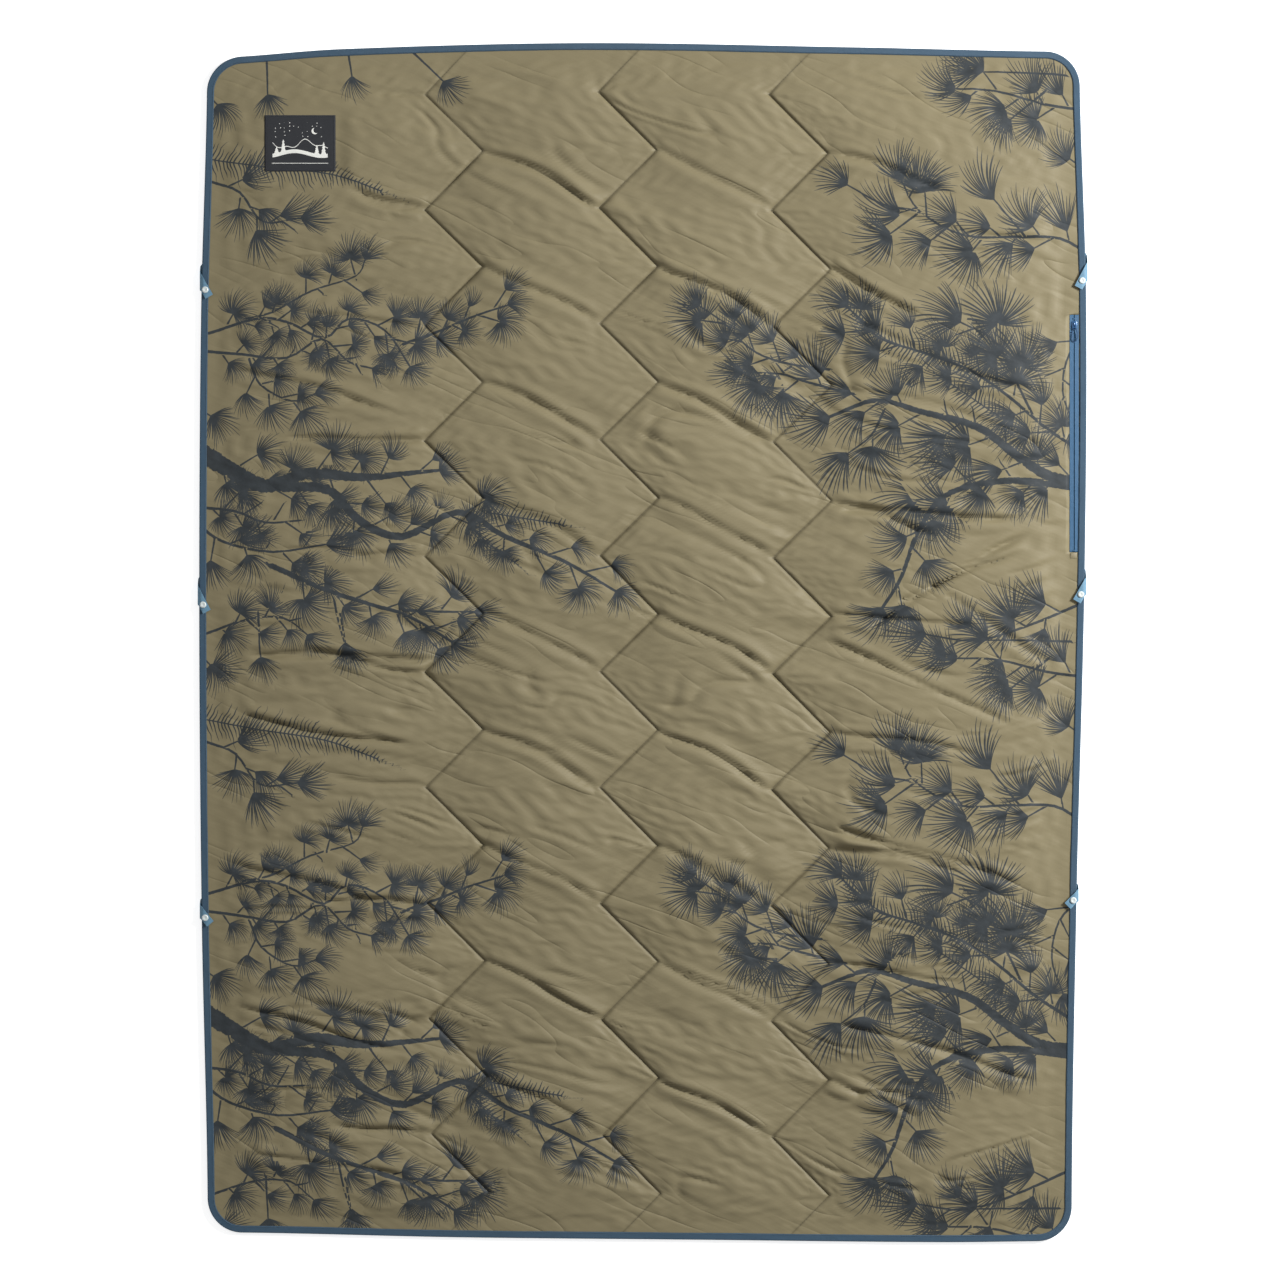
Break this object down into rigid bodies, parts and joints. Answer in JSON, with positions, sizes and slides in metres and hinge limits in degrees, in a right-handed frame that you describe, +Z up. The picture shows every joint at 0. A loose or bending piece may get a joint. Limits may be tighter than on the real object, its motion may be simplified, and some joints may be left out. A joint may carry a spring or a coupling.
{
  "type": "camp blanket",
  "caption": "Flat quilted outdoor blanket with zigzag seams, bound edge, a zipped stuff pocket and folding snap tabs along its long sides.",
  "frame": {"origin": "under the middle of the blanket as it lies face up on a flat surface", "axes": "+X across the blanket towards the zip side, +Y along it towards the end with the patch, +Z up through the face fabric"},
  "size_m": [1.4552, 1.9633, 0.0162],
  "materials": {
    "lining": "plain weave polyester, matt",
    "batting": "white polyester wadding",
    "face_fabric": "olive satin ripstop polyester with a dark pine bough print",
    "binding_tape": "dark slate blue woven fold-over tape",
    "binding_thread": "twisted polyester thread",
    "quilting_thread": "twisted polyester thread",
    "zip_tape": "light blue woven zip tape with a satin face",
    "zip_nylon": "blue nylon coil",
    "slider_metal": "deep blue enamel",
    "pull_cord": "braided cord",
    "pocket_fabric": "light plain weave",
    "woven_patch": null,
    "patch_thread": "twisted polyester thread",
    "tab_webbing": "grey-blue flat webbing",
    "snap_resin": "pale resin, softly glossy",
    "snap_metal": "plated steel"
  },
  "bodies": {
    "root": {"binding_stitch": "binding_thread", "edge_binding": "binding_tape", "face_fabric": "face_fabric", "insulation": "batting", "lining": "lining", "patch_stitch": "patch_thread", "pocket_back": "pocket_fabric", "pocket_front": "pocket_fabric", "quilting_thread_1": "quilting_thread", "quilting_thread_2": "quilting_thread", "quilting_thread_3": "quilting_thread", "tab_left_bottom_root": "tab_webbing", "tab_left_bottom_stud": "snap_metal", "tab_left_bottom_stud_back": "snap_metal", "tab_left_middle_root": "tab_webbing", "tab_left_middle_stud": "snap_metal", "tab_left_middle_stud_back": "snap_metal", "tab_left_top_root": "tab_webbing", "tab_left_top_stud": "snap_metal", "tab_left_top_stud_back": "snap_metal", "tab_right_bottom_root": "tab_webbing", "tab_right_bottom_stud": "snap_metal", "tab_right_bottom_stud_back": "snap_metal", "tab_right_middle_root": "tab_webbing", "tab_right_middle_stud": "snap_metal", "tab_right_middle_stud_back": "snap_metal", "tab_right_top_root": "tab_webbing", "tab_right_top_stud": "snap_metal", "tab_right_top_stud_back": "snap_metal", "woven_patch": "woven_patch", "zip_bottom_stop": "zip_nylon", "zip_coil_inner": "zip_nylon", "zip_coil_outer": "zip_nylon", "zip_end_tab": "face_fabric", "zip_tape_inner": "zip_tape", "zip_tape_outer": "zip_tape", "zip_top_stop": "zip_nylon"},
    "slider": {"zip_slider": "slider_metal"},
    "pull": {"zip_pull_tab": "slider_metal", "zip_pull_cord": "pull_cord", "pull_cord_knot": "pull_cord"},
    "tab_left_top": {"tab_left_top_strap": "tab_webbing", "tab_left_top_cap": "snap_resin", "tab_left_top_socket": "snap_metal"},
    "tab_left_middle": {"tab_left_middle_strap": "tab_webbing", "tab_left_middle_cap": "snap_resin", "tab_left_middle_socket": "snap_metal"},
    "tab_left_bottom": {"tab_left_bottom_strap": "tab_webbing", "tab_left_bottom_cap": "snap_resin", "tab_left_bottom_socket": "snap_metal"},
    "tab_right_top": {"tab_right_top_strap": "tab_webbing", "tab_right_top_cap": "snap_resin", "tab_right_top_socket": "snap_metal"},
    "tab_right_middle": {"tab_right_middle_strap": "tab_webbing", "tab_right_middle_cap": "snap_resin", "tab_right_middle_socket": "snap_metal"},
    "tab_right_bottom": {"tab_right_bottom_strap": "tab_webbing", "tab_right_bottom_cap": "snap_resin", "tab_right_bottom_socket": "snap_metal"}
  },
  "joints": [
    {"name": "zip_slide", "type": "slide", "parent": "root", "child": "slider", "axis": [0, -1, 0], "range_m": [0, 0.36]},
    {"name": "pull_hinge", "type": "hinge", "parent": "slider", "child": "pull", "pos_m": [0.7062, 0.5205, 0.0101], "axis": [-1, 0, 0], "range_deg": [0, 150]},
    {"name": "tab_left_top_fold", "type": "hinge", "parent": "root", "child": "tab_left_top", "pos_m": [-0.72366, 0.5768, 0.0093], "axis": [0, -1, 0], "range_deg": [0, 180]},
    {"name": "tab_left_middle_fold", "type": "hinge", "parent": "root", "child": "tab_left_middle", "pos_m": [-0.72712, 0.0618, 0.0093], "axis": [0, -1, 0], "range_deg": [0, 180]},
    {"name": "tab_left_bottom_fold", "type": "hinge", "parent": "root", "child": "tab_left_bottom", "pos_m": [-0.72369, -0.4501, 0.0093], "axis": [0, -1, 0], "range_deg": [0, 180]},
    {"name": "tab_right_top_fold", "type": "hinge", "parent": "root", "child": "tab_right_top", "pos_m": [0.72707, 0.5919, 0.0093], "axis": [0, 1, 0], "range_deg": [0, 180]},
    {"name": "tab_right_middle_fold", "type": "hinge", "parent": "root", "child": "tab_right_middle", "pos_m": [0.72488, 0.0786, 0.0093], "axis": [0, 1, 0], "range_deg": [0, 180]},
    {"name": "tab_right_bottom_fold", "type": "hinge", "parent": "root", "child": "tab_right_bottom", "pos_m": [0.71241, -0.4216, 0.0093], "axis": [0, 1, 0], "range_deg": [0, 180]}
  ]
}
